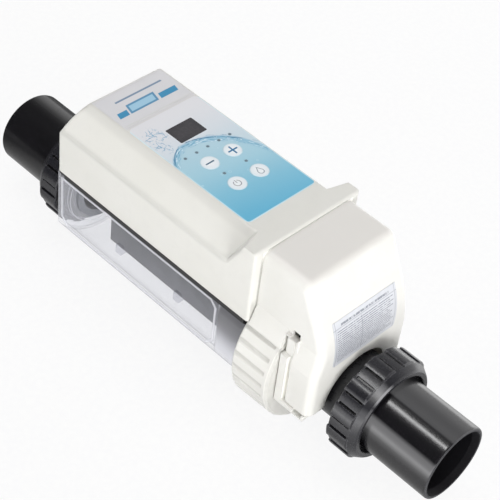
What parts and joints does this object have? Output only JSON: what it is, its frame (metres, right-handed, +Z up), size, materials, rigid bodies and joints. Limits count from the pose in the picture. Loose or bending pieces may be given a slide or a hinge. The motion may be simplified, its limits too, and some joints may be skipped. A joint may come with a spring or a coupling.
{
  "type": "in-line salt chlorinator cell",
  "caption": "In-line salt chlorinator: clear electrolysis cell between two pipe unions, ribbed lock ring, and a control box with keypad and terminal cover on top.",
  "frame": {"origin": "on the flow axis, at the centre of the inlet socket", "axes": "+X along the flow from inlet to outlet, +Z up out of the control panel, -Y towards the front viewing side"},
  "size_m": [0.4536, 0.1205, 0.1615],
  "materials": {
    "clear_plastic": "clear moulded polycarbonate, polished, faintly lavender",
    "black_pvc": "solid black PVC, semi-gloss with long soft highlights",
    "black_nut": "black moulded plastic, satin with slightly worn edges",
    "white_shell": "warm off-white ABS, satin, fine grain",
    "white_trim": "whiter moulded ABS, satin",
    "black_base": "black moulded plastic, fine matt",
    "seal_rubber": "black EPDM",
    "panel_film": "printed polyester film, pale grey fading to mid blue with a water crest, satin",
    "title_film": "off-white film with plain blue bands, satin",
    "window_smoke": "dark smoked acrylic, gloss",
    "display_black": "display module body, dark",
    "button_white": "white translucent caps with grey icons, satin",
    "led_grey": "unlit light pipes, grey",
    "board_green": "glass-epoxy board, green solder mask",
    "titanium": "coated titanium, dark grey, satin",
    "comb_plastic": "pale grey moulded plastic",
    "steel": "stainless steel, brushed",
    "wire_jacket": "silicone wire jacket, red brown",
    "supply_case": "ribbed cast case, grey",
    "label_film": "silver-grey polyester label with plain ruled lines"
  },
  "bodies": {
    "cell": {"cell_housing": "clear_plastic", "inlet_end_fitting": "black_pvc", "outlet_head": "black_pvc", "head_o_ring": "seal_rubber", "union_o_rings": "seal_rubber", "outlet_tail_pipe": "black_pvc", "inlet_tail_pipe": "black_pvc", "anode_plates": "titanium", "cathode_plates": "titanium", "bus_bars": "titanium", "terminal_studs": "titanium", "plate_combs": "comb_plastic", "terminal_nuts": "steel", "control_base": "black_base", "base_screws": "steel", "main_cover": "white_shell", "cover_gasket": "seal_rubber", "cover_screws": "steel", "panel_overlay": "panel_film", "title_label": "title_film", "display_window": "window_smoke", "display_module": "display_black", "indicator_leds": "led_grey", "circuit_board": "board_green", "tact_switches": "display_black", "board_screws": "steel", "power_supply": "supply_case", "power_inlet": "black_base", "cell_leads": "wire_jacket"},
    "inlet_nut": {"inlet_union_nut": "black_nut"},
    "outlet_nut": {"outlet_union_nut": "black_nut"},
    "ring": {"lock_ring": "white_trim"},
    "hood": {"end_cover": "white_trim", "rating_label": "label_film"},
    "tray": {"latch_tray": "white_trim"},
    "key_minus": {"button_minus": "button_white"},
    "key_plus": {"button_plus": "button_white"},
    "key_power": {"button_power": "button_white"},
    "key_mode": {"button_mode": "button_white"}
  },
  "joints": [
    {"name": "inlet_nut_turn", "type": "hinge", "parent": "cell", "child": "inlet_nut", "pos_m": [0.0473, 0, 0], "axis": [1, 0, 0], "continuous": true},
    {"name": "outlet_nut_turn", "type": "hinge", "parent": "cell", "child": "outlet_nut", "pos_m": [0.3633, 0, 0], "axis": [1, 0, 0], "continuous": true},
    {"name": "lock_ring_turn", "type": "hinge", "parent": "cell", "child": "ring", "pos_m": [0.2903, 0, 0.01], "axis": [1, 0, 0], "continuous": true},
    {"name": "end_cover_lift", "type": "slide", "parent": "cell", "child": "hood", "axis": [0, 0, 1], "range_m": [0, 0.12]},
    {"name": "latch_tray_drop", "type": "slide", "parent": "cell", "child": "tray", "axis": [0, 0, -1], "range_m": [0, 0.07], "stiffness_N_per_m": 30, "springref_m": -0.02},
    {"name": "press_minus", "type": "slide", "parent": "cell", "child": "key_minus", "axis": [0, 0, -1], "range_m": [0, 0.0005], "stiffness_N_per_m": 400, "springref_m": -0.002},
    {"name": "press_plus", "type": "slide", "parent": "cell", "child": "key_plus", "axis": [0, 0, -1], "range_m": [0, 0.0005], "stiffness_N_per_m": 400, "springref_m": -0.002},
    {"name": "press_power", "type": "slide", "parent": "cell", "child": "key_power", "axis": [0, 0, -1], "range_m": [0, 0.0005], "stiffness_N_per_m": 400, "springref_m": -0.002},
    {"name": "press_mode", "type": "slide", "parent": "cell", "child": "key_mode", "axis": [0, 0, -1], "range_m": [0, 0.0005], "stiffness_N_per_m": 400, "springref_m": -0.002}
  ]
}
